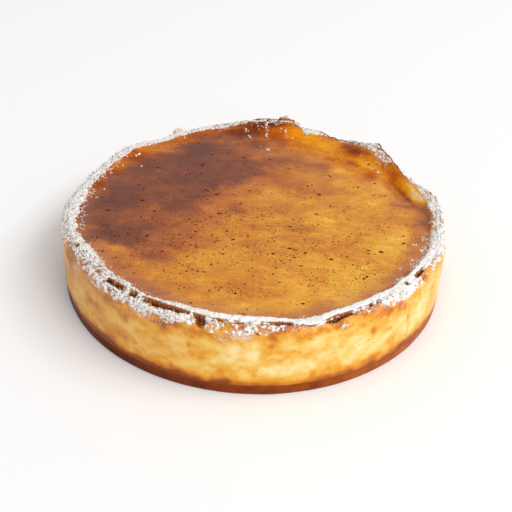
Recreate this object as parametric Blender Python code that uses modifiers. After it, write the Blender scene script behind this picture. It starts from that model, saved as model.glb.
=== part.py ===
"""A whole round custard flan: a thin brown pastry base, a pastry wall with a crusty, flaking rim,
and the baked custard that fills it. Its skin has sunk a little, and climbs to a raised lip at the wall.

Angles are in degrees from +X, anticlockwise seen from above, and -Y is the front. Lengths are in
metres; the feature tables, which say how the hand-made rim varies round the flan, are in millimetres.
"""

import math

import bmesh
import bpy
import numpy as np

MM = 0.001
GAP = 0.0003  # clearance between neighbouring pieces

# The flan
FLAN_RADIUS = 0.110
RIM_HEIGHT = 0.0426  # mean height of the wall's crest

# The base
BASE_THICKNESS = 0.0065
BASE_EDGE = 0.0007  # rounding of the base's edges
BASE_STEPS = 120

# The wall
WALL_FOOT = BASE_THICKNESS + GAP
WALL_INNER_RADIUS = 0.1051
WALL_TOP_INNER_RADIUS = 0.1063
CREST_RADIUS = 0.1071
STEADY_HEIGHT = 0.030  # below this the wall is the same all round
SHOULDER_HEIGHT = 0.0378  # where the upright side ends and the crust begins
WALL_STEPS = 240

# The roughness of the crust: the size of its lumps, how far they rise and how far they stand out
LUMP_SIZE = 0.0048
LUMP_RISE = 0.0005
LUMP_DEPTH = 0.0007

# The custard
CUSTARD_FOOT = BASE_THICKNESS + GAP
CUSTARD_RADIUS = WALL_INNER_RADIUS - 0.0004
GROOVE_RADIUS = 0.1038  # the custard's side under its lip
SKIN_LEVEL = 0.0402
LIP_HEIGHT = 0.0434
LIP_OUTER_RADIUS = 0.1052
LIP_WIDTH = 0.0026  # from the lip's crest to its outer edge
LIP_ROUNDING = 0.0009  # how much lower the outer edge is than the crest
LIP_FOOT_RADIUS = 0.0988
LIP_FOOT_WIDTH = 0.0015  # least width of the slope from the skin up to the lip
SKIN_CLIMB = 0.0006  # how much the skin has climbed at the wall, below the lip
SKIN_WAVE = 0.00012
CUSTARD_STEPS = 144

# How the rim varies round the flan: (angle, half width in degrees, change in mm)
CREST_RISE = [
    (82, 12, 2.6), (43, 5, 3.4), (24, 11, -5.0), (59, 7, -3.2), (128, 11, -4.0),
    (163, 12, -3.8), (-108, 6, 1.2), (-5, 9, 1.4), (-68, 5, -0.9), (-48, 5, 0.9),
]
CREST_LEAN = [(24, 12, -1.6), (163, 24, -1.8), (128, 16, -0.8), (-150, 14, -1.2)]
SHOULDER_DROP = [(-122, 9, -1.8), (-98, 8, -0.8), (-160, 14, -2.4), (-43, 5, -1.8), (-84, 9, 2.0)]
LIP_RISE = [
    (82, 12, 1.4), (41, 6, 2.4), (24, 9, -1.6), (59, 7, -3.0), (128, 12, -3.6), (163, 14, -3.2),
]
LIP_SHRINK = [(-114, 15, -1.5), (22, 11, -2.6)]
LIP_FOOT_SHIFT = [
    (80, 30, -9.0), (125, 22, -5.0), (45, 14, -5.0), (18, 13, -6.0), (-72, 13, 2.4), (-148, 10, -1.6),
]

# The dip of the skin at the foot of its fold
FOLD_RADIUS, FOLD_ANGLE = 0.0905, 20
FOLD_HALF_WIDTH, FOLD_HALF_ANGLE = 0.0065, 15
FOLD_DEPTH = 0.0028

# Burst bubbles in the crust: (angle, height in mm, half width in mm, depth in mm)
BURST_BUBBLES = [
    (-102, 41.6, 2.7, 2.6), (-131, 42.0, 2.6, 2.2), (-124, 40.0, 2.0, 1.4), (-64, 42.4, 3.0, 2.2),
    (-69, 41.0, 2.6, 1.6), (-35, 42.6, 3.2, 2.4), (-22, 41.0, 2.3, 1.6), (-82, 42.6, 3.0, 1.2),
]

# Loose flakes and crumbs baked onto the rim: (angle, mm outside and above the crest, half length
# along the rim, half thickness and half height in mm, tilt in degrees)
RIM_FLAKES = [
    (-5, 1.0, -0.2, 3.2, 0.9, 2.8, 8), (80, 0.2, 0.6, 1.9, 1.4, 1.4, 0),
    (121, 0.2, 0.4, 2.6, 0.9, 1.6, -12), (146, 0.3, 0.3, 2.2, 1.0, 1.5, 10),
    (8, 0.3, 0.3, 2.2, 0.8, 1.8, -10), (-46, 1.6, -2.0, 3.4, 1.2, 2.6, 4),
    (-104, 0.9, -1.0, 2.4, 0.9, 1.6, -14), (-61, 1.4, -1.4, 3.0, 1.2, 1.8, 10),
    (97, 0.3, 0.1, 2.4, 0.9, 1.3, 6), (-28, 0.8, -0.3, 2.6, 0.9, 1.6, -8),
    (171, 0.4, 0.2, 2.4, 1.1, 1.4, 12), (-141, 0.4, 0.1, 2.8, 1.0, 1.5, -6),
]
FLAKE_SIDES, FLAKE_RINGS = 8, 5
FLAKE_CLEARANCE = 0.0002  # from a flake to the outer radius of the flan


def wrapped(degrees):
    """The angle brought between -180 and 180 degrees."""
    return (degrees + 180.0) % 360.0 - 180.0


def along_rim(theta, features):
    """The sum of the named rises and dips at the angles theta, in radians; the answer is in metres."""
    angle = np.degrees(theta)
    total = np.zeros_like(angle)
    for centre, half_width, change in features:
        total += change * MM * np.exp(-((wrapped(angle - centre) / half_width) ** 2))
    return total


def smooth(low, high, value):
    """0 below low, 1 above high and an S curve in between."""
    t = np.clip((value - low) / (high - low), 0.0, 1.0)
    return t * t * (3.0 - 2.0 * t)


def lumps(theta, along, cell, seed):
    """Seeded noise between -1 and 1 on the unrolled rim, with lumps about one cell across."""
    columns, rows = round(2 * math.pi * FLAN_RADIUS / cell), 64
    table = np.random.default_rng(seed).uniform(-1, 1, (columns, rows))
    u = theta / (2 * math.pi) % 1.0 * columns
    v = along / cell % rows
    i, j = np.floor(u).astype(int), np.floor(v).astype(int)
    a, b = smooth(0.0, 1.0, u - i), smooth(0.0, 1.0, v - j)
    i, j, i_next, j_next = i % columns, j % rows, (i + 1) % columns, (j + 1) % rows
    near = table[i, j] * (1 - b) + table[i, j_next] * b
    far = table[i_next, j] * (1 - b) + table[i_next, j_next] * b
    return near * (1 - a) + far * a


def wall_form(theta, radius, height):
    """Gives the plain turned wall its uneven crest, rough shoulder and burst bubbles."""
    upper = smooth(STEADY_HEIGHT, RIM_HEIGHT - 0.0008, height)
    crust = smooth(SHOULDER_HEIGHT - 0.001, SHOULDER_HEIGHT + 0.0015, height)
    leaning = smooth(SHOULDER_HEIGHT - 0.001, RIM_HEIGHT - 0.0016, height)
    outward = np.clip((radius - CREST_RADIUS) / (FLAN_RADIUS - CREST_RADIUS), 0.0, 1.0)
    shoulder = outward * smooth(STEADY_HEIGHT + 0.003, SHOULDER_HEIGHT, height)
    new_height = height + upper * along_rim(theta, CREST_RISE)
    new_height += shoulder * along_rim(theta, SHOULDER_DROP)
    new_height += LUMP_RISE * crust * lumps(theta, height, LUMP_SIZE, 11)
    new_radius = radius + leaning * along_rim(theta, CREST_LEAN)
    new_radius += LUMP_DEPTH * crust * outward * (1 - outward) * lumps(theta, height, LUMP_SIZE, 12)
    for angle, bubble_height, half_width, depth in BURST_BUBBLES:
        across = np.radians(wrapped(np.degrees(theta) - angle)) * FLAN_RADIUS
        distance = np.hypot(across, new_height - bubble_height * MM) / (half_width * MM)
        hollow = depth * MM * np.clip(1.0 - distance**2, 0.0, 1.0) * outward
        new_radius -= 0.75 * hollow  # the burst skin falls in, and a little down
        new_height -= 0.6 * hollow
    return np.minimum(new_radius, FLAN_RADIUS), new_height


def lip_edge(theta):
    """The radius of the lip's outer edge, which follows the wall's crest where that leans in."""
    return LIP_OUTER_RADIUS + along_rim(theta, LIP_SHRINK) + along_rim(theta, CREST_LEAN)


def skin_height(theta, radius):
    """The height of the custard's skin, with its lip at the wall, its fold and its slight waves."""
    crest = lip_edge(theta) - LIP_WIDTH
    foot = np.minimum(LIP_FOOT_RADIUS + along_rim(theta, LIP_FOOT_SHIFT), crest - LIP_FOOT_WIDTH)
    level = SKIN_LEVEL + SKIN_CLIMB * (radius / FLAN_RADIUS) ** 4
    from_fold = np.radians(wrapped(np.degrees(theta) - FOLD_ANGLE)) / math.radians(FOLD_HALF_ANGLE)
    level -= FOLD_DEPTH * np.exp(-(from_fold**2) - ((radius - FOLD_RADIUS) / FOLD_HALF_WIDTH) ** 2)
    ripple = np.sin(radius * 95 + 3 * theta) + np.sin(radius * 160 - 2 * theta + 1.7)
    level += SKIN_WAVE * ripple * smooth(0.0, 0.03, radius)
    top = LIP_HEIGHT + along_rim(theta, LIP_RISE)
    rise = smooth(0.0, 1.0, (radius - foot) / (crest - foot))
    rounding = LIP_ROUNDING * smooth(0.0, 1.0, (radius - crest) / LIP_WIDTH) ** 2
    return level + (top - level) * rise - rounding


def custard_form(theta, radius, height):
    """Shapes the plain turned custard: the skin by its own height, the side under the lip by the groove."""
    shrink = lip_edge(theta) - LIP_OUTER_RADIUS
    near_lip = smooth(LIP_FOOT_RADIUS - 0.004, LIP_OUTER_RADIUS - 0.002, radius)
    under_lip = near_lip * smooth(0.034, 0.040, height)
    new_radius = radius + shrink * under_lip
    on_skin = height > LIP_HEIGHT - 0.001
    lip_drop = skin_height(theta, lip_edge(theta)) - (LIP_HEIGHT - LIP_ROUNDING)
    new_height = np.where(on_skin, skin_height(theta, new_radius), height + under_lip * lip_drop)
    return new_radius, new_height


def material(name, colour, roughness):
    """A Principled material of one colour."""
    made = bpy.data.materials.new(name)
    made.use_nodes = True
    shader = made.node_tree.nodes["Principled BSDF"]
    shader.inputs["Base Color"].default_value = (*colour, 1.0)
    shader.inputs["Roughness"].default_value = roughness
    return made


def turned(name, profile, steps):
    """A solid of revolution: the profile, outer side downwards, on a Screw modifier, made a mesh."""
    outline = bpy.data.meshes.new(name + "_profile")
    points = [(radius, 0.0, height) for radius, height in profile]
    closed = profile[0][0] > 0
    edges = [(i, i + 1) for i in range(len(points) - 1)] + ([(len(points) - 1, 0)] if closed else [])
    outline.from_pydata(points, edges, [])
    guide = bpy.data.objects.new(name + "_profile", outline)
    bpy.context.scene.collection.objects.link(guide)
    screw = guide.modifiers.new("Screw", "SCREW")
    screw.steps = steps
    screw.render_steps = steps
    screw.use_merge_vertices = True
    screw.merge_threshold = 0.00005
    screw.use_smooth_shade = False
    graph = bpy.context.evaluated_depsgraph_get()
    mesh = bpy.data.meshes.new_from_object(guide.evaluated_get(graph))
    mesh.name = name
    bpy.data.objects.remove(guide)
    bpy.data.meshes.remove(outline)
    return mesh


def shaped(mesh, form):
    """Moves each vertex of a turned mesh to where form puts its radius and height at its angle."""
    place = np.empty(len(mesh.vertices) * 3)
    mesh.vertices.foreach_get("co", place)
    x, y, height = place.reshape(-1, 3).T
    theta, radius = np.arctan2(y, x), np.hypot(x, y)
    new_radius, new_height = form(theta, radius, height)
    moved = np.stack([new_radius * np.cos(theta), new_radius * np.sin(theta), new_height], axis=1)
    mesh.vertices.foreach_set("co", moved.ravel())
    mesh.update()
    return mesh


def add_object(name, mesh, finish, collection):
    """Links a mesh as a smooth-shaded object of one material, its faces pointing out."""
    sorted_out = bmesh.new()
    sorted_out.from_mesh(mesh)
    bmesh.ops.recalc_face_normals(sorted_out, faces=sorted_out.faces)
    sorted_out.to_mesh(mesh)
    sorted_out.free()
    mesh.materials.append(finish)
    mesh.shade_smooth()
    mesh.set_sharp_from_angle(angle=math.radians(50))
    made = bpy.data.objects.new(name, mesh)
    collection.objects.link(made)
    return made


def base_profile():
    """The base's half section, from the middle of its top, out and down, to the middle of its foot."""
    radius, edge, top = FLAN_RADIUS, BASE_EDGE, BASE_THICKNESS
    arc = [math.radians(a) for a in (90, 45, 0)]
    upper = [(radius - edge + edge * math.cos(a), top - edge + edge * math.sin(a)) for a in arc]
    lower = [(r, top - z) for r, z in reversed(upper)]
    return [(0.0, top), *upper, *lower, (0.0, 0.0)]


def wall_profile():
    """The wall's closed section: over the crest, down the outside, across the foot and up the inside."""
    shoulder_rise = RIM_HEIGHT - SHOULDER_HEIGHT
    shoulder = [
        (CREST_RADIUS + (FLAN_RADIUS - CREST_RADIUS) * out, RIM_HEIGHT - shoulder_rise * down)
        for out, down in ((0.0, 0.0), (0.3, 0.12), (0.6, 0.38), (0.85, 0.7), (1.0, 1.0))
    ]
    return [
        (WALL_TOP_INNER_RADIUS, RIM_HEIGHT - 0.0004),
        *shoulder,
        (FLAN_RADIUS, 0.033),
        (FLAN_RADIUS, WALL_FOOT),
        (WALL_INNER_RADIUS, WALL_FOOT),
        (WALL_INNER_RADIUS, 0.035),
        (WALL_INNER_RADIUS + 0.0003, 0.0385),
        (WALL_TOP_INNER_RADIUS - 0.0002, 0.0410),
    ]


def custard_profile():
    """The custard's half section: out across the skin, over the lip, down the side and in along its foot."""
    skin = [0.018, 0.036, 0.054, 0.068, 0.079, 0.086, 0.0905, 0.0945, 0.0975, 0.1, 0.1018, 0.1034]
    return [
        (0.0, LIP_HEIGHT),
        *[(radius, LIP_HEIGHT) for radius in skin],
        (LIP_OUTER_RADIUS, LIP_HEIGHT),
        (LIP_OUTER_RADIUS - 0.0004, LIP_HEIGHT - 0.0016),
        (GROOVE_RADIUS, 0.0390),
        (CUSTARD_RADIUS, 0.0350),
        (CUSTARD_RADIUS, CUSTARD_FOOT),
        (0.0, CUSTARD_FOOT),
    ]


def flake_mesh(half_thickness, half_length, half_height, finish):
    """A flattened sphere with few faces."""
    shape = bmesh.new()
    bmesh.ops.create_uvsphere(shape, u_segments=FLAKE_SIDES, v_segments=FLAKE_RINGS, radius=1.0)
    bmesh.ops.scale(shape, vec=(half_thickness, half_length, half_height), verts=shape.verts)
    mesh = bpy.data.meshes.new("flake")
    shape.to_mesh(mesh)
    shape.free()
    mesh.materials.append(finish)
    return mesh


def add_flakes(wall, finish):
    """Sets the rim's flakes and crumbs on the wall's crest, and joins them to the wall in one union."""
    flakes = bpy.data.collections.new("flakes")
    bpy.context.scene.collection.children.link(flakes)
    for angle, outside, above, half_length, half_thickness, half_height, tilt in RIM_FLAKES:
        theta = math.radians(angle)
        crest = wall_form(np.array([theta]), np.array([CREST_RADIUS]), np.array([RIM_HEIGHT]))
        radius, height = (float(value[0]) for value in crest)
        mesh = flake_mesh(half_thickness * MM, half_length * MM, half_height * MM, finish)
        flake = bpy.data.objects.new("flake", mesh)
        furthest = FLAN_RADIUS - half_thickness * MM - FLAKE_CLEARANCE
        reach = min(radius + outside * MM, furthest)
        flake.location = (reach * math.cos(theta), reach * math.sin(theta), height + above * MM)
        flake.rotation_euler = (math.radians(tilt), math.radians(tilt / 2), theta)
        flakes.objects.link(flake)
    union = wall.modifiers.new("Flakes", "BOOLEAN")
    union.operation = "UNION"
    union.operand_type = "COLLECTION"
    union.collection = flakes
    union.solver = "EXACT"
    bpy.context.view_layer.update()
    graph = bpy.context.evaluated_depsgraph_get()
    fused = bpy.data.meshes.new_from_object(wall.evaluated_get(graph))
    wall.modifiers.clear()
    wall.data = fused
    for flake in list(flakes.objects):
        bpy.data.objects.remove(flake)
    bpy.data.collections.remove(flakes)


def main():
    for leftover in list(bpy.data.objects):
        bpy.data.objects.remove(leftover)
    flan = bpy.data.collections.new("custard_flan")
    bpy.context.scene.collection.children.link(flan)
    brown_pastry = material("brown_pastry", (0.24, 0.075, 0.025), 0.5)
    golden_pastry = material("golden_pastry", (0.78, 0.47, 0.15), 0.45)
    baked_custard = material("baked_custard", (0.62, 0.25, 0.03), 0.3)

    base = turned("pastry_base", base_profile(), BASE_STEPS)
    add_object("pastry_base", base, brown_pastry, flan)
    custard = shaped(turned("custard", custard_profile(), CUSTARD_STEPS), custard_form)
    add_object("custard", custard, baked_custard, flan)
    wall_mesh = shaped(turned("pastry_wall", wall_profile(), WALL_STEPS), wall_form)
    wall = add_object("pastry_wall", wall_mesh, golden_pastry, flan)
    add_flakes(wall, golden_pastry)


main()
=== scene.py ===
"""The looks of a whole round custard flan: baked skin, mottled pastry side, crusty rim and icing sugar.

Angles are in degrees from +X, anticlockwise seen from above, and -Y is the front. Lengths are in
metres; the tables of features are in millimetres, and amounts and shares in them are in hundredths.
"""

import itertools
import math

import bpy
import numpy as np
from mathutils import Matrix, Vector


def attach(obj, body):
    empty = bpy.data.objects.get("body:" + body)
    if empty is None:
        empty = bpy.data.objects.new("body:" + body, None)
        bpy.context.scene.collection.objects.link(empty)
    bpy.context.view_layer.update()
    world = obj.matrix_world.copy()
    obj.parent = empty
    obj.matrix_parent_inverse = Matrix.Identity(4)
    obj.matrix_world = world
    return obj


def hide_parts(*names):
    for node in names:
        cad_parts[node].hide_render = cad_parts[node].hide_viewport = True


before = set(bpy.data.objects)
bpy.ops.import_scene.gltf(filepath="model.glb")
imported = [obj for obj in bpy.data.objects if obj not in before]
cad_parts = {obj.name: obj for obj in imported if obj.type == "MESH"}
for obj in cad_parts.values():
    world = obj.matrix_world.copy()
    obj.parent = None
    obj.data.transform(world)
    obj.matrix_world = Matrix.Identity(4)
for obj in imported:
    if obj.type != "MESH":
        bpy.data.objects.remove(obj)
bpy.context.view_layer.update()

MM = 0.001
HUNDREDTH = 0.01

# -------- driving sizes, most as in the solids
FLAN_RADIUS = 0.110
RIM_HEIGHT = 0.0426
BASE_THICKNESS = 0.0065
BASE_TOP_EDGE = 0.0002  # sharper than in the solid
BASE_FOOT_EDGE = 0.0009
BASE_TOP_INSET = 0.0004  # so that its upper edge lies under the wall's foot
WALL_FOOT = BASE_THICKNESS - 0.0007  # baked onto the base, so no gap shows
WALL_INNER_RADIUS = 0.1051
WALL_TOP_INNER_RADIUS = 0.1063
CREST_RADIUS = 0.1071
STEADY_HEIGHT = 0.030
SHOULDER_HEIGHT = 0.0378
CUSTARD_FOOT = BASE_THICKNESS + 0.0003
CUSTARD_RADIUS = WALL_INNER_RADIUS - 0.0004
GROOVE_RADIUS = 0.1038
SKIN_LEVEL = 0.0402
SKIN_CLIMB = 0.0006
SKIN_WAVE = 0.00012
LIP_HEIGHT = 0.0434
LIP_OUTER_RADIUS = 0.1052
LIP_WIDTH = 0.0026
LIP_ROUNDING = 0.0004  # less than in the solid
LIP_FOOT_RADIUS = 0.0988
LIP_FOOT_WIDTH = 0.0015

# How the rim varies round the flan, more finely than in the solids: (angle, half width in degrees,
# change in mm)
CREST_RISE = [
    (84, 12, 2.7), (43, 5, 3.6), (25, 11, -5), (36, 4, -1.2), (62, 8, -4.4), (128, 11, -4), (163, 12, -3.8),
    (-107, 4, 0.7), (-5, 9, 1.4), (-68, 5, -0.9), (-48, 5, 0.9), (107, 12, -2), (93, 6, -0.7),
    (78, 3.5, 1.4), (73, 2.2, -2.4), (67, 5, -1), (119.5, 2.5, 0.8), (139, 6, -0.5), (152, 9, -1.9),
    (176, 8, -1.6), (127, 4, -0.8), (-70, 14, -1.5), (-68, 2.6, -1.1), (114, 4, -0.6), (-102.6, 2.4, -0.7),
]
CREST_LEAN = [(24, 12, -1.6), (-8, 7, -2), (163, 24, -1.8), (128, 16, -0.8), (-150, 14, -1.2)]
SHOULDER_DROP = [
    (-122, 9, -1.8), (-98, 8, -0.8), (-160, 14, -2.4), (-43, 5, -1.8), (-84, 9, 2), (2, 7, -1.4),
    (-10, 7, -3.4),
]
SIDE_LEAN = [(-6.5, 7, -1.7)]
LIP_RISE = [
    (82, 12, 1.4), (41, 6, 2.4), (24, 9, -1.6), (59, 7, -3), (128, 12, -3.6), (163, 14, -3.2),
    (107, 13, -2.6), (73, 2.5, -1.4), (67, 5, -1.1), (151, 9, -1.1), (175, 8, -0.6), (-72, 15, -1.7),
]
LIP_SHRINK = [
    (-114, 15, -1.5), (-127, 5, -0.7), (22, 11, -2.6), (-99, 6, 1.1), (-74, 3.9, 3.9), (-57, 4, 0.6),
]
LIP_FOOT_SHIFT = [(80, 30, -9), (125, 22, -5), (45, 14, -5), (18, 13, -6), (-72, 13, 2.4), (-148, 10, -1.6)]
FOLD_RADIUS, FOLD_ANGLE = 0.0905, 20
FOLD_HALF_WIDTH, FOLD_HALF_ANGLE = 0.0065, 15
FOLD_DEPTH = 0.0028

# Burst bubbles in the crust: (angle, height in mm, half width in mm, depth in mm)
BURST_BUBBLES = [
    (-102.6, 42.6, 4.4, 4.4), (-97.6, 41, 1.9, 1.5), (-92.2, 41.6, 1.9, 1.5), (-88.2, 39.4, 1.2, 1.5),
    (-14.5, 41.4, 1.3, 1.6), (-131, 42.2, 3, 2.4), (-124, 40.4, 2.2, 1.6), (-64, 42.4, 3, 2.2),
    (-69, 41, 2.6, 1.6), (-35, 42.6, 3.2, 2.4), (-22, 41, 2.3, 1.6), (-82, 42.6, 3, 1.2),
]
DARK_BUBBLE_DEPTH = 4.4  # in mm; a shallower bubble is less dark inside, the darkness being painted shade
BREAK_THROUGH = 0.7  # how far so deep a bubble also breaks down the crest
BUBBLE_SLOPE = 0.55  # the share of its radius over which a bubble's edge falls
BUBBLE_RAGGEDNESS = 0.28
# Flakes baked onto the rim: (angle, mm outside and above the crest, half length along the rim, half
# thickness and half height in mm, tilt in degrees)
RIM_FLAKES = [
    (-5, 0.3, -0.4, 3, 0.8, 2.4, 8), (80, 0.2, 1.1, 1.8, 1.5, 1.7, 0), (120, 0.2, 1, 3.2, 1.1, 1.9, -8),
    (146, 0.3, 0.3, 2.2, 1, 1.5, 10), (8, 0.3, 0.3, 2.2, 0.8, 1.8, -10), (-46, 1.6, -2, 3.4, 1.2, 2.6, 4),
    (-65.2, 1.9, -2.8, 2.9, 1.1, 1.6, 12), (97, 0.3, 0.1, 2.4, 0.9, 1.3, 6),
    (-28, 0.8, -0.3, 2.6, 0.9, 1.6, -8), (171, 0.4, 0.2, 2.4, 1.1, 1.4, 12),
    (-141, 0.4, 0.1, 2.8, 1, 1.5, -6),
]

# -------- how fine the visible meshes are
CUSTARD_STEPS = 720
WALL_STEPS = 1200
BASE_STEPS = 480
SUGAR_STEPS = 2000
SKIN_INNER_RADII = (0.0012, 0.080)  # where the skin's rows are round
SKIN_SPLIT = 0.0808  # from here outward they follow the lip more and more
SKIN_ROWS = (58, 56)  # the round ones, and those outside
CRUST_SPACING, SIDE_SPACING = 0.00045, 0.0011  # of the wall's rows
FINE_ROWS_END = 0.034  # the height down to which they are close
RIM_START = 0.0925  # where the grid of the rim's top begins on the skin
RIM_END = 0.0345  # the height where it ends on the side
RIM_SKIN_ROWS, GROOVE_ROWS = 30, 7

# -------- the skin's browning
# Patches: (x, y, half width, half depth in mm, amount and, where it is turned, the turn in degrees)
BROWN_SIDE = [(-30, 62, 48, 32, 90, 10), (-56, 20, 48, 30, 90, 14), (-76, -22, 36, 25, 76)]
BROWN_SIDE_EDGE = (0.22, 0.80)  # where the browned side begins, and where it is whole
BROWN_SIDE_AMOUNT = 0.40
SKIN_PATCHES = [
    (-34, 66, 18, 13, 16, 8), (0, 54, 16, 7, 14, -4), (-40, 28, 24, 11, 12, 12), (-80, 4, 12, 15, 16),
    (-80, -28, 14, 9, 10), (-52, -24, 14, 14, -6, 10), (-42, -36, 8, 8, 12), (-54, -51, 9, 7, 30),
    (-12, 0, 8, 5, 22, -10), (-24, -10, 7, 9, 12), (26, 58, 20, 11, 26, -8), (43, 50, 6, 8, 20),
    (14, 78, 12, 8, 22), (-6, 95, 17, 9, 44), (14, 86, 5, 7, 22), (12, 32, 22, 9, 16), (34, 26, 20, 7, 10),
    (26, -20, 10, 8, 12), (63, 74, 8, 9, 42, 20), (57, 56, 3.5, 4, 30), (48, 64, 4, 3, 22),
    (80, 11, 4, 2.6, 18), (87, 9, 5, 2.6, 22, -20), (95, -8, 7, 15, 32), (-76, 44, 7, 8, 4),
    # (46, -88), (78, -63) and, below, (14, -97) brown the skin along the front lip's inner edge: painted
    # shade
    (-3, -36, 14, 7, 4), (-14, -74, 8, 5, 8), (46, -88, 24, 5, 22, 28), (78, -63, 18, 5, 20, 50),
    (14, -97, 22, 4, 12, 4), (90, -34, 7, 20, 22, -12), (-62, 72, 12, 6, -13, 30), (76, -24, 14, 13, -5),
    (66, 12, 12, 10, -3), (10, 8, 14, 10, -8), (34, -2, 14, 8, -6), (-8, -94, 30, 6, -6),
    (-68, -46, 5, 3.5, -10), (-78, -38, 18, 6, 32), (-88, -27, 5, 2, -16, -30), (-48, -38, 11, 7, 16),
    (-35, -6, 9, 15, 15), (-8, 16, 10, 7, 8), (-12, 44, 40, 9, 10), (68, -14, 12, 8, -1),
    (82, 8, 7, 12, 14, -10), (82, -34, 6, 9, -6), (20, -60, 30, 14, -4), (20, 6, 26, 18, 4),
    (10, 60, 10, 6, -8), (40, 57, 7, 5, -8), (-56, 68, 14, 7, -7), (-14, 84, 20, 11, 10),
    (62, 70, 12, 8, 10), (46, -22, 26, 13, -7), (32, -82, 26, 7, -8), (70, -2, 16, 5, -2),
    (-61, -5, 4, 8, -20), (-62, 12, 3, 3, -12), (-60, 39, 5, 3, -12), (-38, -58, 14, 9, 6, 6),
    (-88, 47, 6, 8, -20), (-88, 35, 6, 6, -4), (-80, -62, 8, 6, 6), (34, 86, 10, 8, -12),
    (58, 44, 9, 9, -6), (34, -78, 30, 16, -6), (52, -38, 24, 14, -5), (30, 100, 8, 7, -10),
]
AMBER_PATCHES = [
    (22, 100, 50, 15, 120), (36, 80, 18, 11, 90), (60, 62, 15, 17, 110, 20), (-52, 86, 34, 9, 120, 32),
    (-90, 38, 7, 24, 80, -18), (-76, 58, 6, 8, 90), (-88, 36, 7, 7, 90), (-93, 21, 4, 4, 50),
]
# Patches of the fold and the slope above it, at exact places
FOLD_PATCHES = [
    # (89.6, 23) darkens the fold's crease: painted shade. (96.2, 18.5) lightens the strip below it: partly
    # translucent custard, partly a painted highlight
    (89.6, 23, 15, 1.7, 42, -71), (88, 46, 13, 6.5, 28, -63), (91.4, 27, 11, 2.6, -28, -74),
    (96.2, 18.5, 10, 2.2, -44, -72), (84.2, 27, 13, 2.6, 22, -71), (97, 6, 4, 6, 14),
    (6, 101, 17, 2.6, 42, -2), (60, 79, 6, 4, 12, -20), (71, 43.5, 5, 4.6, 24, -10),
    # (-50, -82) and (-66, -64) brown the skin along the front-left lip's inner edge: painted shade
    (79.5, 44, 3.5, 5, -14, -60), (-50, -82, 22, 5, 16, -32), (84, 15, 7, 6, 14, -40),
    (-66, -64, 16, 5, 16, -44), (80, -21.5, 9, 6.5, 9),
]
FOLD_AMBER = [
    # (97, 17) takes the amber out of that strip, partly for the painted highlight
    (90, 26, 17, 4.2, 100, -71), (88, 46, 14, 8, 100, -63), (97, 17, 8, 1.6, -100, -72),
    (70.5, 44, 6, 6, 70),
]
SKIN_BROWNING = 0.31  # where there is no patch
SKIN_SIDE_TO_SIDE = -0.0006  # how much less it is for each mm to the right

# -------- the toasting of the side
# Patches: (angle, height, half width, half height in mm, amount of toasting)
SIDE_PATCHES = [
    (-147, 33, 5, 4, 20), (-136, 27, 3, 2.5, 18), (-125, 31.5, 3, 3, 30), (-113, 34, 2.5, 3, 26),
    (-106, 27, 1.8, 1.8, 28), (-131, 37, 4, 2, 28), (-118, 33, 6, 2, 12), (-140, 34, 5, 3, 12),
    (-150, 27, 4, 6, 14), (-111, 13, 3, 2, 12), (-103, 30, 7, 3, -14), (-106, 17, 5, 4, -10),
    (-95, 26, 4, 6, -14), (-97, 14, 3, 3, 10), (-89, 25, 2, 9, -12), (-88, 15, 1.5, 4, 18),
    (-83, 17, 5, 3, -16), (-75, 31, 7, 3, -16), (-70, 24, 8, 3, -10), (-52, 19, 6, 3, -14),
    (-84, 37, 2.5, 2.5, 24), (-72, 37.5, 5, 2, 24), (-66, 38, 3, 1.8, 26), (-63, 32, 3, 2, 20),
    (-57, 28.5, 1.7, 3.6, 26), (-57, 31, 6, 5, 14), (-50, 25, 2.5, 1.6, 22), (-53, 38, 5, 3, 24),
    (-47, 37, 3, 3.5, 22), (-45, 32, 1.2, 4, 16), (-43, 26, 1.2, 4, 20), (-42, 18, 1.2, 5, 22),
    (-38, 34, 1.5, 4, 22), (-73, 12, 4, 2, 20), (-62, 11.5, 5, 1.8, 20), (-55, 10, 6, 1.6, 22),
    (-67, 13, 3, 2, 16), (-85, 31, 2, 1.5, 18), (-29, 28, 1.5, 4, 14), (-33, 15, 6, 3, 8),
    (-80, 10, 10, 1.5, 14), (-106, 14, 5, 4, -12), (-73, 19, 6, 4, -16), (-98, 20, 5, 5, -8),
    (-30, 35, 4, 3, -14), (-36, 24, 6, 8, -12), (-20, 22, 5, 10, -8), (-31, 38, 9, 4, -16),
    (-16, 36, 14, 8, -16), (-153, 36, 9, 4, 34), (-113, 37.4, 12, 1.5, 26),
]
SIDE_TOAST = 0.23  # where there is no patch
SIDE_LEFT_TOAST_AND_SHADE = 0.14  # how much more there is on the left: partly browner pastry, partly painted shade
MOST_TOAST = 0.84
FOOT_WITHOUT_POWDER = 0.28  # how far the specks of flour thin out at the foot
# Thin sugar dusted on the side, given like its patches
SIDE_POWDER = [
    (-92, 38, 6, 4, 75), (-97, 34, 3.5, 3, 50), (-72, 41, 18, 2, 55), (-55, 41, 8, 2.5, 50),
    (-147, 37, 6, 5, 55), (-160, 37, 10, 4, 55), (-46, 38.5, 4, 3, 50), (-118, 37.5, 14, 2, 50),
    (-37, 40, 5, 3, 50), (-20, 40, 12, 3, 40), (60, 38, 40, 3, 40), (140, 38, 40, 3, 40),
]

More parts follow.
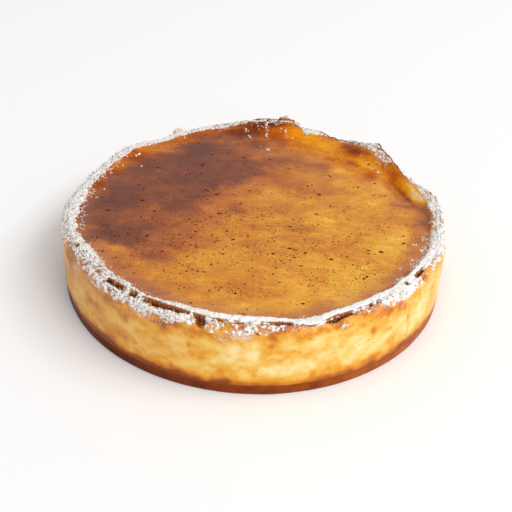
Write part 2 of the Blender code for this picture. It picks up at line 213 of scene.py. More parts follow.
# -------- the icing sugar
# Tables round the rim: (angle, value), with straight runs between the angles; the first two are a
# radius and a height in mm
SUGAR_INNER_RADIUS = [
    (-180, 98.9), (-166, 101), (-158, 101), (-152, 98.8), (-147, 97.6), (-138, 98.2), (-131, 99.6),
    (-126, 100.4), (-120, 102), (-115, 101.2), (-111, 99.8), (-104, 99.4), (-96, 99), (-87, 100.2),
    (-82, 102), (-77, 102.6), (-68, 101.2), (-61, 100.8), (-54, 101.4), (-48, 102.6), (-43, 102.2),
    (-30, 101.8), (-20, 102.2), (-12, 102.4), (-4, 101.4), (6, 100.2), (16, 99.4), (24, 100.6), (28, 104.5),
    (30, 105.5), (32, 101), (35, 97), (39, 97.5), (44, 99.2), (48, 101.4), (52, 104), (57, 105),
    (65, 103.4), (67, 99.8), (71.5, 97.8), (73.5, 103.8), (76, 104.6), (92, 104.8), (100, 103),
    (110, 101.6), (122, 100.8), (136, 100.4), (150, 99.8), (166, 98.8), (180, 98.5),
]
SUGAR_OUTER_HEIGHT = [
    (-180, 37.2), (-168, 37), (-161, 37.8), (-155, 40.4), (-150, 41.4), (-146, 40), (-141, 38.6),
    (-134, 37.6), (-130, 38), (-122, 38.6), (-110, 39.6), (-103, 40), (-98, 39), (-92, 37.6), (-86, 38.8),
    (-82, 41.2), (-66, 42), (-56, 41.6), (-51, 40.6), (-47, 39.6), (-45, 37.4), (-43, 38.8), (-38, 40.4),
    (-28, 40.4), (-20, 39.4), (-8, 38.2), (2, 39.4), (8, 40.6), (30, 40), (60, 39.6), (90, 41), (120, 38.6),
    (150, 38), (168, 37), (180, 37.2),
]
LIP_COVER = [
    (-180, 85), (-150, 82), (-136, 70), (-128, 80), (-112, 95), (-90, 100), (-50, 100), (-30, 95),
    (-14, 90), (2, 78), (9, 62), (20, 52), (26, 42), (29, 20), (31, 30), (34, 50), (40, 60), (47, 70),
    (51, 45), (57, 35), (63, 65), (67, 80), (71.5, 85), (74, 50), (76, 45), (95, 50), (104, 80), (130, 85),
    (160, 85), (180, 85),
]
CRUST_COVER = [
    (-180, 86), (-160, 80), (-150, 66), (-141, 66), (-132, 72), (-122, 80), (-108, 80), (-101, 60),
    (-96, 52), (-90, 60), (-84, 56), (-80, 42), (-78, 30), (-66, 30), (-63, 60), (-55, 56), (-50, 90),
    (-38, 90), (-35, 45), (-31, 45), (-24, 80), (-12, 80), (4, 72), (9, 56), (16, 52), (24, 52), (34, 65),
    (44, 62), (52, 50), (58, 45), (64, 65), (72, 56), (84, 52), (100, 70), (125, 78), (150, 80), (180, 86),
]
GROOVE_BRIDGED = [
    (-180, 100), (-160, 95), (-155, 80), (-153.5, 25), (-151.5, 80), (-149.5, 50), (-147, 90), (-144, 65),
    (-141, 85), (-139, 50), (-137, 85), (-134.5, 80), (-133.4, 15), (-131.6, 15), (-131.1, 50),
    (-130.6, 20), (-128.6, 15), (-128, 50), (-127.2, 30), (-126, 80), (-125, 25), (-123, 20), (-122.2, 75),
    (-121, 55), (-119.5, 30), (-118, 10), (-108, 5), (-106.5, 35), (-105.8, 75), (-105.2, 15), (-102.2, 10),
    (-101.6, 60), (-100.5, 40), (-98, 35), (-96.5, 45), (-95.3, 70), (-94.4, 40), (-92.9, 40), (-92.4, 60),
    (-90, 60), (-88.5, 90), (-87.2, 50), (-85.2, 45), (-84, 12), (-79.6, 15), (-78.8, 55), (-71.5, 55),
    (-70, 42), (-66, 36), (-65, 10), (-62.6, 5), (-61.6, 80), (-59.8, 40), (-56, 42), (-55, 80),
    (-53.4, 40), (-52, 95), (-43.4, 95), (-43, 25), (-41.6, 25), (-41, 90), (-38.6, 90), (-37.4, 20),
    (-32.8, 10), (-31.8, 90), (-10, 100), (10, 100), (60, 95), (100, 100), (180, 100),
]
# How much of the sugar is flecked with brown and grey
SUGAR_FLECKS = [
    (-180, 90), (-140, 110), (-112, 110), (-95, 30), (-45, 35), (-25, 70), (-5, 100), (60, 100), (180, 90),
]
# How much painted shade dulls the skin beside the lip
SKIN_LIP_SHADE = [
    (-180, 20), (-160, 50), (-140, 100), (-118, 100), (-100, 100), (-80, 60), (-62, 90), (-40, 90),
    (-25, 50), (-5, 40), (12, 0), (170, 0), (180, 20),
]
SKIN_LIP_SHADE_RADII = (0.086, 0.099)  # where the painted shade begins, and where it is strongest
MOST_LIP_SHADE = 0.36
# How evenly the sugar lies on the lip, with a clean edge
SUGAR_EVENNESS = [(-180, 0), (-128, 10), (-118, 85), (-30, 85), (-18, 20), (0, 0), (180, 0)]
EVENED_OUT = 0.65  # how much of its raggedness even sugar loses
GROOVE_TAPER = 0.34  # how much further the sugar reaches at the edges of an open groove
GROOVE_RAGGEDNESS = 180  # how much raggedness of the sugar, in metres, changes its bridging
BLOWN_OFF = 0.75  # how much of the sugar is missing in bubbles and at the edges of the groove
GROOVE_OPENING = 0.0006
GROOVE_DEPTH = 0.0040
GROOVE_FILLING = 0.0005
SUGAR_DEPTH = 0.00050
SUGAR_FROM = 0.55  # the cover at which even sugar begins to show
SUGAR_GAIN, SUGAR_LUMPS = 2.6, 0.80  # how its thickness grows with the cover and with lumps
THINNEST, THICKEST = -0.5, 1.5  # times the depth; below 0 there is no sugar
SUGAR_GRAINS = 12000
GRAIN_HALF_SIZES = (0.00012, 0.00036)
# Clots of grains spilled on the skin: (angle, half width in degrees, outer radius and reach inward in
# mm, clots, grains in each)
SPILLS = [
    (-17, 8, 103, 5, 64, 9), (-30, 7, 102, 6, 20, 7), (-40, 4, 100.5, 2.5, 7, 8), (178, 12, 99.5, 5, 26, 5),
    (-150, 22, 98.5, 1.8, 34, 4), (160, 12, 99.5, 4, 20, 4), (38, 5, 104, 10, 40, 5),
    (86, 10, 105, 10, 26, 4), (69, 3, 101, 4, 12, 4), (148, 6, 101, 7, 14, 3), (-130, 14, 98.8, 1.4, 20, 3),
    (-60, 20, 101.5, 1.2, 14, 3), (110, 16, 104, 3, 20, 3), (14, 10, 103, 4, 30, 4), (56, 4, 104, 5, 10, 4),
]
CLOT_SIZE = 0.0006
SPILL_GRAIN_HALF_SIZES = (0.00016, 0.00056)
GRAIN_LIFT = 0.0001
# Blobs of sugar that ran down the back slope: (angle, outer and inner radius in mm, blobs, half size
# in mm)
SUGAR_STREAKS = [
    (94.9, 98, 94, 6, 0.66), (93.7, 96, 89, 5, 0.42), (92.9, 89, 86.8, 3, 0.55), (89.8, 101, 96, 5, 0.42),
    (86.7, 105, 97, 10, 0.75), (86.3, 97, 89.5, 9, 0.72), (85.2, 73, 72.4, 2, 0.8), (84, 73, 72.2, 2, 0.8),
    (88.4, 78, 77, 2, 0.5), (80.9, 99, 95, 4, 0.5), (79, 97, 94, 6, 0.6), (78, 94, 91, 3, 0.42),
    # the single blobs at 141.6, 142.9, 148, 171, 119.6 and 124 degrees are white specks set on the slope's
    # small glints: painted highlights
    (83, 104, 98, 3, 0.42), (142.9, 95.8, 95, 3, 0.75), (141.6, 95.8, 95, 3, 0.75), (148, 84, 83.6, 1, 0.7),
    (171, 90.8, 90.4, 1, 0.7), (119.6, 98, 96, 5, 0.4), (124, 100, 98, 4, 0.35), (70.5, 99, 95, 4, 0.36),
    (63, 102, 98, 4, 0.3),
]
# Thin brown edges of pastry that stand on the rim: (first and last angle, mm outside and above the
# crest at each end, half thickness in mm)
BROWN_EDGES = [
    (29.5, 45, 0, 0.2, 0.3, 0.5, 0.46), (53, 69, 0.2, 0.5, 0.4, 0.5, 0.3),
    (70, 98, 0.4, 0.8, 0.2, 0.2, 0.34),
]
BROWN_EDGE_INSET = 0.0004  # from the lip's edge, where the lip is higher than the crest

# -------- vanilla and crumbs
# Vanilla specks in strings: (number of strings, specks in each, half length and half width in mm)
VANILLA_SIZES = [(84, 1, 0.95, 0.6), (180, 3, 0.55, 0.36), (350, 5, 0.31, 0.22), (500, 2, 0.2, 0.15)]
VANILLA_HALF_HEIGHT = 0.10  # in mm
VANILLA_FRONT_SHARE = 0.45  # so many of them lie at the front and in the middle, where they are densest
VANILLA_RADIUS = 0.097
SIDE_SPECKS = 260

# Crumbs: (angle, half width in degrees, lowest and highest radius in mm, count, half size in mm)
AMBER_CRUMBS = [
    (84, 9, 104.8, 107.2, 16, 0.9), (80.5, 1.5, 106, 107.2, 3, 1.7), (97, 10, 105.5, 107.5, 8, 0.7),
    (66, 8, 105, 107, 6, 0.5), (-128, 16, 102.5, 108.5, 20, 0.5), (-90, 12, 104.5, 108, 10, 0.45),
    (22, 14, 104, 107.5, 14, 0.6),
]
DARK_CRUMBS = [
    (90, 16, 104, 108, 90, 0.4), (130, 34, 104.2, 108, 170, 0.27), (-2, 14, 103.5, 107.5, 60, 0.26),
    (176, 16, 99, 107.5, 120, 0.24), (-140, 20, 99.5, 107.5, 120, 0.26), (38, 9, 99, 107.5, 50, 0.32),
    (14, 12, 101, 107, 50, 0.26), (60, 8, 103.5, 107, 24, 0.34), (-75, 25, 104.8, 108, 30, 0.26),
]

# -------- camera and studio
TARGET = Vector((0.0, 0.0, 0.02))
CAMERA_DISTANCE = 0.5
CAMERA_ELEVATION = math.radians(34.0)
CAMERA_ROLL = math.radians(2.17)
PICTURE_SIZE = 512
FOCAL_PIXELS = 846.0
TARGET_PIXEL = (253.8, 237.5)
SENSOR = 36.0
WORLD_STRENGTH = 0.60
WORLD_BRIGHTER_SIDE = (0.5, -0.8, 0.3)  # the world is this much stronger towards the right and front
WORLD_CONTRAST = 0.16
KEY_PLACE = (2.5, -1.3, 3.2)
KEY_SIZES = (4.4, 1.8)  # along the flan's side, and up
KEY_POWER = 120.0
FLOOR_HALF = 6.0
FLOOR_COLOUR = (0.92, 0.92, 0.92, 1.0)
FLOOR_GLOW = 0.02
WHITE = (1.0, 1.0, 1.0, 1.0)


# ======== small helpers
def srgb(red, green, blue):
    """A colour given in 0 to 255, as Blender's linear values."""
    parts = [value / 255.0 for value in (red, green, blue)]
    return (*[p / 12.92 if p <= 0.04045 else ((p + 0.055) / 1.055) ** 2.4 for p in parts], 1.0)


def wrapped(degrees):
    return (degrees + 180.0) % 360.0 - 180.0


def smooth(low, high, value):
    """0 below low, 1 above high and an S curve in between; or a fall, where low is the greater."""
    t = np.clip((value - low) / (high - low), 0.0, 1.0)
    return t * t * (3.0 - 2.0 * t)


def along_rim(theta, features):
    """The sum of the named rises and dips at the angles theta, in radians; the answer is in metres."""
    angle = np.degrees(theta)
    total = np.zeros_like(angle)
    for centre, half_width, change in features:
        total += change * MM * np.exp(-((wrapped(angle - centre) / half_width) ** 2))
    return total


def round_rim(theta, table, unit=HUNDREDTH):
    """A table of (angle, value) read at the angles theta, in radians."""
    angles, values = zip(*table)
    return np.interp(wrapped(np.degrees(theta)), angles, values) * unit


def around(steps):
    return np.arange(steps) * (2.0 * math.pi / steps)


def noise(points, cell, seed, size=48):
    """Smooth seeded noise between -1 and 1 at an array of points, with lumps about one cell across."""
    table = np.random.default_rng(seed).uniform(-1.0, 1.0, (size, size, size))
    spot = points / cell
    low = np.floor(spot).astype(int)
    part = spot - low
    part = part * part * (3.0 - 2.0 * part)
    total = np.zeros(points.shape[:-1])
    for corner in itertools.product((0, 1), repeat=3):
        weight = np.prod(np.where(corner, part, 1.0 - part), axis=-1)
        x, y, z = np.moveaxis((low + corner) % size, -1, 0)
        total += weight * table[x, y, z]
    return total


def layered(points, cell, seed, layers=3, fade=0.55):
    """Noise in layers, each half the size of the one before and fade times as strong."""
    total, strength, whole = 0.0, 1.0, 0.0
    for layer in range(layers):
        total = total + strength * noise(points, cell / 2**layer, seed + layer)
        whole += strength
        strength *= fade
    return total / whole * 1.6


def polar(theta, radius, height):
    """Points from arrays of angle, radius and height that broadcast together."""
    theta, radius, height = np.broadcast_arrays(theta, radius, height)
    return np.stack([radius * np.cos(theta), radius * np.sin(theta), height], axis=-1)


def radius_of(points):
    return np.hypot(points[..., 0], points[..., 1])


def dense(points, spacing):
    """A line of (radius, height) points, resampled to about the given spacing."""
    line = np.array(points, float)
    length = np.concatenate([[0.0], np.cumsum(np.linalg.norm(np.diff(line, axis=0), axis=1))])
    places = np.linspace(0.0, length[-1], max(2, round(length[-1] / spacing) + 1))
    return np.stack([np.interp(places, length, line[:, k]) for k in (0, 1)], axis=1)


def normals(points):
    """Outward normals of a grid whose rows run outward and down, and whose columns go round."""
    across = np.gradient(points, axis=0)
    along = np.roll(points, -1, axis=1) - np.roll(points, 1, axis=1)
    normal = np.cross(across, along)
    return normal / np.maximum(np.linalg.norm(normal, axis=-1, keepdims=True), 1e-12)


# ======== meshes
def mesh_object(name, vertices, faces, material, fields=None):
    """A smooth-shaded object from arrays; fields are float values at its vertices, for its material."""
    mesh = bpy.data.meshes.new(name)
    mesh.from_pydata(vertices.tolist(), [], faces.tolist() if hasattr(faces, "tolist") else faces)
    for field, values in (fields or {}).items():
        attribute = mesh.attributes.new(field, "FLOAT", "POINT")
        attribute.data.foreach_set("value", np.ascontiguousarray(values, np.float32).ravel())
    mesh.shade_smooth()
    mesh.materials.append(material)
    mesh.update()
    made = bpy.data.objects.new(name, mesh)
    bpy.context.scene.collection.objects.link(made)
    return made


def grid_faces(rows, steps, ring=False):
    """Quads between the rows of a grid that closes on itself round the flan, and across if ring."""
    index = np.arange(rows * steps).reshape(rows, steps)
    near, far = (index, np.roll(index, -1, axis=0)) if ring else (index[:-1], index[1:])
    quads = np.stack([near, far, np.roll(far, -1, axis=1), np.roll(near, -1, axis=1)], axis=-1)
    return quads.reshape(-1, 4)


def disc_object(name, points, material, fields=None):
    """A closed body from a grid whose first and last rows close on the axis, each with a fan."""
    rows, steps = points.shape[:2]
    first, last, end = rows * steps, rows * steps + 1, (rows - 1) * steps
    faces = grid_faces(rows, steps).tolist()
    for k in range(steps):
        following = (k + 1) % steps
        faces.append([first, k, following])
        faces.append([last, end + following, end + k])
    spread = {
        field: np.concatenate([values.ravel(), [values[0].mean(), values[-1].mean()]])
        for field, values in (fields or {}).items()
    }
    ends = [points[0].mean(axis=0), points[-1].mean(axis=0)]
    return mesh_object(name, np.vstack([points.reshape(-1, 3), ends]), faces, material, spread)


def turned_about(random, count):
    """Random turns, as an array of 3 by 3 matrices."""
    quaternion = random.normal(size=(4, count))
    w, *axis = quaternion / np.linalg.norm(quaternion, axis=0)
    cross = np.cross(np.eye(3), np.stack(axis, axis=-1)[:, None])
    return np.eye(3) + 2 * w[:, None, None] * cross + 2 * cross @ cross


def scattered(name, shape, places, sizes, wobble, random, material, turns=None):
    """One mesh of many copies of a small shape, each with its own place, sizes, turn and wobble."""
    corners, faces = shape
    places, sizes = np.concatenate(places), np.concatenate(sizes)
    turns = turned_about(random, len(places)) if turns is None else turns
    copies = corners[None] * (1.0 + wobble * random.uniform(-1, 1, (len(places), len(corners), 1)))
    copies = np.einsum("nij,nvj->nvi", turns, copies * sizes[:, None, :]) + places[:, None, :]
    offsets = (np.arange(len(places)) * len(corners))[:, None, None]
    all_faces = (np.array(faces)[None] + offsets).reshape(-1, 3)
    return mesh_object(name, copies.reshape(-1, 3), all_faces, material)


def bead(sides):
    """A double pyramid with a ring of sides corners: the least shape for a grain."""
    ring = [(math.cos(a), math.sin(a), 0.0) for a in around(sides)]
    corners = np.array([*ring, (0, 0, 1), (0, 0, -1)], float)
    faces = []
    for k in range(sides):
        faces.append((k, (k + 1) % sides, sides))
        faces.append(((k + 1) % sides, k, sides + 1))
    return corners, faces


def ball(rings, sides):
    """A plain sphere of triangles, for crumbs and flakes."""
    corners = [(0.0, 0.0, 1.0)]
    for i in range(1, rings):
        radius, height = math.sin(math.pi * i / rings), math.cos(math.pi * i / rings)
        corners += [(radius * math.cos(a), radius * math.sin(a), height) for a in around(sides)]
    corners.append((0.0, 0.0, -1.0))
    faces = [(0, 1 + k, 1 + (k + 1) % sides) for k in range(sides)]
    for i in range(rings - 2):
        for k in range(sides):
            a, b = 1 + i * sides + k, 1 + i * sides + (k + 1) % sides
            faces += [(a, a + sides, b + sides), (a, b + sides, b)]
    last, start = len(corners) - 1, 1 + (rings - 2) * sides
    faces += [(last, start + (k + 1) % sides, start + k) for k in range(sides)]
    return np.array(corners), faces


# ======== the flan's forms
def wall_form(theta, radius, height):
    """The turned wall with its uneven crest, rough shoulder and burst bubbles, and how hollow it is."""
    theta, radius, height = np.broadcast_arrays(theta, radius, height)
    upper = smooth(STEADY_HEIGHT, RIM_HEIGHT - 0.0008, height)
    crust = smooth(SHOULDER_HEIGHT - 0.0025, SHOULDER_HEIGHT + 0.0015, height)
    leaning = smooth(SHOULDER_HEIGHT - 0.001, RIM_HEIGHT - 0.0016, height)
    outward = np.clip((radius - CREST_RADIUS) / (FLAN_RADIUS - CREST_RADIUS), 0.0, 1.0)
    shoulder = outward * smooth(STEADY_HEIGHT + 0.003, SHOULDER_HEIGHT, height)
    dented = outward * smooth(0.028, 0.0355, height) * (1.0 - leaning)
    plain = polar(theta, radius, height)
    craggy = 0.00045 * layered(plain, 0.0045, 21) + 0.0002 * noise(plain, 0.0011, 24)
    new_height = height + upper * along_rim(theta, CREST_RISE) + shoulder * along_rim(theta, SHOULDER_DROP)
    new_height = new_height + crust * craggy
    new_radius = radius + leaning * along_rim(theta, CREST_LEAN) + dented * along_rim(theta, SIDE_LEAN)
    rough = 0.0006 * layered(plain, 0.0040, 31) + 0.00022 * noise(plain, 0.0010, 34)
    wavy = 0.00022 * noise(plain, 0.014, 37) + 0.00006 * noise(plain, 0.003, 38)
    new_radius = new_radius + outward * (crust * rough + (1 - crust) * wavy)
    hollow = np.zeros(theta.shape)
    ragged = 1.0 + BUBBLE_RAGGEDNESS * noise(plain, 0.0018, 40)
    for angle, bubble_height, half_width, depth in BURST_BUBBLES:
        across = np.radians(wrapped(np.degrees(theta) - angle)) * FLAN_RADIUS
        distance = np.hypot(across, new_height - bubble_height * MM) / (half_width * MM * ragged)
        dent = smooth(0.0, BUBBLE_SLOPE, 1.0 - distance)
        fallen = dent * np.maximum(outward, BREAK_THROUGH * (depth >= DARK_BUBBLE_DEPTH))
        new_radius = new_radius - 0.8 * depth * MM * dent * outward
        new_height = new_height - 0.5 * depth * MM * fallen
        hollow = np.maximum(hollow, fallen * min(1.0, depth / DARK_BUBBLE_DEPTH))
    return new_radius, new_height, hollow


def bridged_at(theta):
    """How far the crust bridges the groove, from 0, open, to 1."""
    ragged = layered(polar(theta, FLAN_RADIUS, 0.0), 0.003, 57)
    return np.clip(round_rim(theta, GROOVE_BRIDGED) + 0.16 * ragged, 0.0, 1.0)


def lip_edge(theta):
    """The radius of the lip's outer edge, further in where the groove is open."""
    opening = GROOVE_OPENING * smooth(0.9, 0.1, bridged_at(theta))
    opening = opening + 0.00025 * layered(polar(theta, FLAN_RADIUS, 0.0), 0.004, 59, layers=4, fade=0.7)
    return LIP_OUTER_RADIUS + along_rim(theta, LIP_SHRINK) + along_rim(theta, CREST_LEAN) - opening


def lip_rounding(edge, radius):
    """How much lower the lip is than its crest, towards its outer edge."""
    return LIP_ROUNDING * smooth(0.0, 1.0, (radius - edge + LIP_WIDTH) / LIP_WIDTH) ** 2


def skin_height(theta, radius):
    """The height of the custard's skin, with its lip at the wall, its fold and its slight waves."""
    theta, radius = np.broadcast_arrays(theta, radius)
    edge = lip_edge(theta)
    crest = edge - LIP_WIDTH
    foot = np.minimum(LIP_FOOT_RADIUS + along_rim(theta, LIP_FOOT_SHIFT), crest - LIP_FOOT_WIDTH)
    rise = smooth(0.0, 1.0, (radius - foot) / (crest - foot))
    level = SKIN_LEVEL + SKIN_CLIMB * (radius / FLAN_RADIUS) ** 4
    from_fold = np.radians(wrapped(np.degrees(theta) - FOLD_ANGLE)) / math.radians(FOLD_HALF_ANGLE)
    level = level - FOLD_DEPTH * np.exp(-(from_fold**2) - ((radius - FOLD_RADIUS) / FOLD_HALF_WIDTH) ** 2)
    ripple = np.sin(radius * 95 + 3 * theta) + np.sin(radius * 160 - 2 * theta + 1.7)
    level = level + SKIN_WAVE * ripple * smooth(0.0, 0.03, radius)
    top = LIP_HEIGHT + along_rim(theta, LIP_RISE)
    plain = polar(theta, radius, 0.0)
    fine = 0.00010 * noise(plain, 0.016, 50) + 0.00003 * noise(plain, 0.004, 51)
    lumpy = rise * (0.00030 * layered(plain, 0.006, 52) + 0.00012 * noise(plain, 0.0015, 55))
    return level + (top - level) * rise - lip_rounding(edge, radius) + fine + lumpy


def on_skin(theta, radius, lift=0.0):
    """Points on the skin, or so much above it."""
    return polar(theta, radius, skin_height(theta, radius) + lift)


# ======== the colouring
def patch_sum(x, y, patches):
    """The sum at x and y, in mm, of soft round patches."""
    total = np.zeros(np.broadcast(x, y).shape)
    for patch_x, patch_y, half_width, half_depth, amount, *turn in patches:
        c, s = math.cos(math.radians(sum(turn))), math.sin(math.radians(sum(turn)))
        from_x, from_y = x - patch_x, y - patch_y
        along, across = c * from_x + s * from_y, c * from_y - s * from_x
        total += amount * HUNDREDTH * np.exp(-((along / half_width) ** 2) - (across / half_depth) ** 2)
    return total


def side_sum(points, patches, wander=0.0, climb=0.0):
    """The sum of soft patches on the side, at points moved so many degrees round it and mm up it."""
    angle = np.degrees(np.arctan2(points[..., 1], points[..., 0])) + wander
    level = points[..., 2] / MM + climb
    total = np.zeros(angle.shape)
    for patch_angle, height, half_width, half_height, amount in patches:
        along = np.radians(wrapped(angle - patch_angle)) * FLAN_RADIUS / MM
        off = (along / half_width) ** 2 + ((level - height) / half_height) ** 2
        total += amount * HUNDREDTH * np.exp(-off)
    return total


def skin_colouring(points):
    """How brown the skin is, from 0, pale yellow, to 1, dark brown, and how far its browning is amber."""
    flat = points * (1.0, 1.0, 0.0)
    x, y = points[..., 0] / MM, points[..., 1] / MM
    moved_x, moved_y = x + 4.5 * layered(flat, 0.016, 60), y + 3.5 * layered(flat, 0.016, 64)
    side = patch_sum(moved_x, moved_y, BROWN_SIDE) + 0.10 * layered(flat, 0.02, 67)
    streaks = layered(flat * (0.6, 1.0, 1.0), 0.010, 68)
    clouds = layered(flat, 0.024, 72, layers=4)
    fine = layered(flat * (0.7, 1.0, 1.0), 0.0045, 76, layers=2)
    browning = SKIN_BROWNING + SKIN_SIDE_TO_SIDE * moved_x + patch_sum(moved_x, moved_y, SKIN_PATCHES)
    browning = browning + BROWN_SIDE_AMOUNT * smooth(*BROWN_SIDE_EDGE, side)
    browning = browning + 0.09 * streaks + 0.08 * clouds + 0.04 * fine
    amber = patch_sum(moved_x, moved_y, AMBER_PATCHES) + 0.15 * streaks
    x = x + 0.8 * layered(flat, 0.006, 93)
    return browning + patch_sum(x, y, FOLD_PATCHES), np.clip(amber + patch_sum(x, y, FOLD_AMBER), 0.0, 1.0)


def toast_at(points):
    """How toasted the wall is at points on it, from 0, cream, to 1, dark brown; on the left part of this is
    painted shade.
    """
    height, to_left = points[..., 2], -points[..., 0]
    wander = np.degrees(0.0022 / FLAN_RADIUS) * layered(points, 0.007, 78)
    patches = side_sum(points, SIDE_PATCHES, wander, 1.8 * layered(points, 0.007, 79))
    # darker on the left: partly browner pastry, partly painted shade
    left_toast_and_shade = SIDE_LEFT_TOAST_AND_SHADE * smooth(-0.02, 0.10, to_left)
    stretched = points * (1.0, 1.0, 1.4)
    clouds = 0.20 * layered(stretched, 0.012, 84, layers=3) + 0.09 * layered(stretched, 0.0035, 87, layers=2)
    uneven = height + 0.0007 * layered(points, 0.008, 89)
    foot = 0.26 * smooth(0.0106, 0.0060, uneven) + 0.20 * smooth(0.0150, 0.0070, uneven)
    # the foot is darker on the left as well: partly browner pastry, partly painted shade
    foot = foot * (1.0 + 0.5 * smooth(-0.03, 0.09, to_left))
    under_crust = 0.10 * smooth(0.031, 0.038, height + 0.0028 * layered(points, 0.010, 88))
    crust = 0.16 * smooth(0.0385, 0.0415, height)
    inside = 0.5 * smooth(WALL_TOP_INNER_RADIUS, WALL_INNER_RADIUS, radius_of(points))
    return np.minimum(SIDE_TOAST + left_toast_and_shade + patches + clouds + foot + under_crust + crust, MOST_TOAST) + inside


def powder_at(points):
    """How much thin sugar is dusted on the wall, from 0 to 1, and less than none at its foot."""
    dusted = side_sum(points, SIDE_POWDER) * (1.0 + 0.5 * layered(points, 0.004, 98))
    return np.clip(dusted, 0.0, 1.0) - FOOT_WITHOUT_POWDER * smooth(0.012, 0.008, points[..., 2])


# ======== materials
class Tree:
    """A short way to write the nodes of a material or of the world."""

    def __init__(self, owner, shader="Principled BSDF"):
        owner.use_nodes = True
        self.owner, self.tree = owner, owner.node_tree
        self.shader = self.tree.nodes[shader]

    def add(self, kind, inputs=None, **settings):
        """A node, with its inputs set to values or linked to other nodes' outputs."""
        made = self.tree.nodes.new("ShaderNode" + kind)
        for name, value in settings.items():
            setattr(made, name, value)
        self.feed(made, inputs or {})
        return made

    def feed(self, made, inputs):
        for name, value in inputs.items():
            if isinstance(value, bpy.types.NodeSocket):
                self.tree.links.new(value, made.inputs[name])
            else:
                made.inputs[name].default_value = value

    def field(self, name):
        return self.add("Attribute", attribute_name=name).outputs["Fac"]

    def place(self):
        return self.add("TexCoord").outputs["Object"]

    def place_changed(self, operation, vector):
        return self.add("VectorMath", {0: self.place(), 1: vector}, operation=operation).outputs[0]

    def noise(self, scale, detail=3.0, roughness=0.6, vector=None):
        inputs = {"Scale": scale, "Detail": detail, "Roughness": roughness, "Vector": vector or self.place()}
        return self.add("TexNoise", inputs).outputs["Fac"]

    def math(self, operation, *values):
        return self.add("Math", dict(enumerate(values)), operation=operation).outputs[0]

    def plus(self, value, added, share):
        """The value with a share of another added."""
        return self.math("ADD", value, self.math("MULTIPLY", added, share))

    def grained(self, value, share, *noise):
        """The value with a share of noise about zero added."""
        return self.plus(value, self.math("SUBTRACT", self.noise(*noise), 0.5), share)

    def spread(self, value, low, high, to_low=0.0, to_high=1.0):
        inputs = {"Value": value, "From Min": low, "From Max": high, "To Min": to_low, "To Max": to_high}
        return self.add("MapRange", inputs, interpolation_type="SMOOTHSTEP").outputs[0]

    def ramp(self, value, stops):
        made = self.add("ValToRGB", {"Fac": value})
        elements = made.color_ramp.elements
        while len(elements) < len(stops):
            elements.new(0.5)
        for element, (position, *colour) in zip(elements, stops):
            element.position, element.color = position, srgb(*colour)
        return made.outputs["Color"]

    def mix(self, share, a, b):
        return self.add("Mix", {0: share, 6: a, 7: b}, data_type="RGBA").outputs[2]

    def finish(self, inputs):
        self.feed(self.shader, inputs)
        return self.owner

    def surface(self, colour, roughness, specular, bump, soft=None):
        """The finished material, bumpy by noise (scale, detail, depth, strength); soft is how far light
        goes into it (share, distance of red, green and blue)."""
        scale, detail, depth, strength = bump
        bumps = {"Height": self.noise(scale, detail), "Distance": depth, "Strength": strength}
        inputs = {"Base Color": colour, "Roughness": roughness, "Specular IOR Level": specular}
        inputs["Normal"] = self.add("Bump", bumps).outputs["Normal"]
        if soft:
            inputs |= {"Subsurface Weight": soft[0], "Subsurface Radius": soft[1:], "Subsurface Scale": 1.0}
        return self.finish(inputs)


def new_material(name):
    return Tree(bpy.data.materials.new(name))


def custard_material():
    """Baked custard skin: pale yellow to dark brown by how much it is browned, soft and glossy, with painted
    shade beside the lip and in the groove.
    """
    t = new_material("custard_skin")
    browned = t.grained(t.field("browning"), 0.22, 170.0, 4.0)
    browned = t.grained(browned, 0.40, 700.0)
    browned = t.grained(browned, 0.26, 420.0, 3.0, 0.6, t.place_changed("MULTIPLY", (0.3, 1.0, 1.0)))
    skin = t.ramp(browned, [
        (0.00, 252, 204, 132), (0.08, 236, 178, 58), (0.20, 224, 152, 36), (0.34, 203, 125, 32),
        (0.48, 184, 103, 35), (0.64, 150, 78, 30), (0.80, 120, 60, 36), (1.00, 98, 52, 36),
    ])
    amber = t.ramp(browned, [
        (0.06, 240, 162, 12), (0.28, 216, 128, 4), (0.48, 184, 90, 2), (0.70, 136, 56, 4),
        (0.92, 92, 34, 8),
    ])
    colour = t.mix(t.field("amber"), skin, amber)
    # painted shade beside the lip: the skin is mixed towards a dull greyish brown
    colour = t.mix(t.math("MULTIPLY", t.field("lip_shade"), MOST_LIP_SHADE), colour, srgb(176, 122, 98))
    # the custard's side in the groove and the lip's edge over an open groove go to dark brown: partly their
    # own browning, partly painted shade in the groove
    colour = t.mix(t.field("groove_shade"), colour, srgb(84, 34, 12))
    roughness = t.spread(t.noise(60.0, 2.0, 0.55), 0.35, 0.65, 0.26, 0.36)
    specular = t.spread(t.field("amber"), 0.0, 1.0, 0.5, 0.1)
    return t.surface(colour, roughness, specular, (420.0, 4.0, 0.00025, 0.35), (0.12, 0.003, 0.0012, 0.0004))


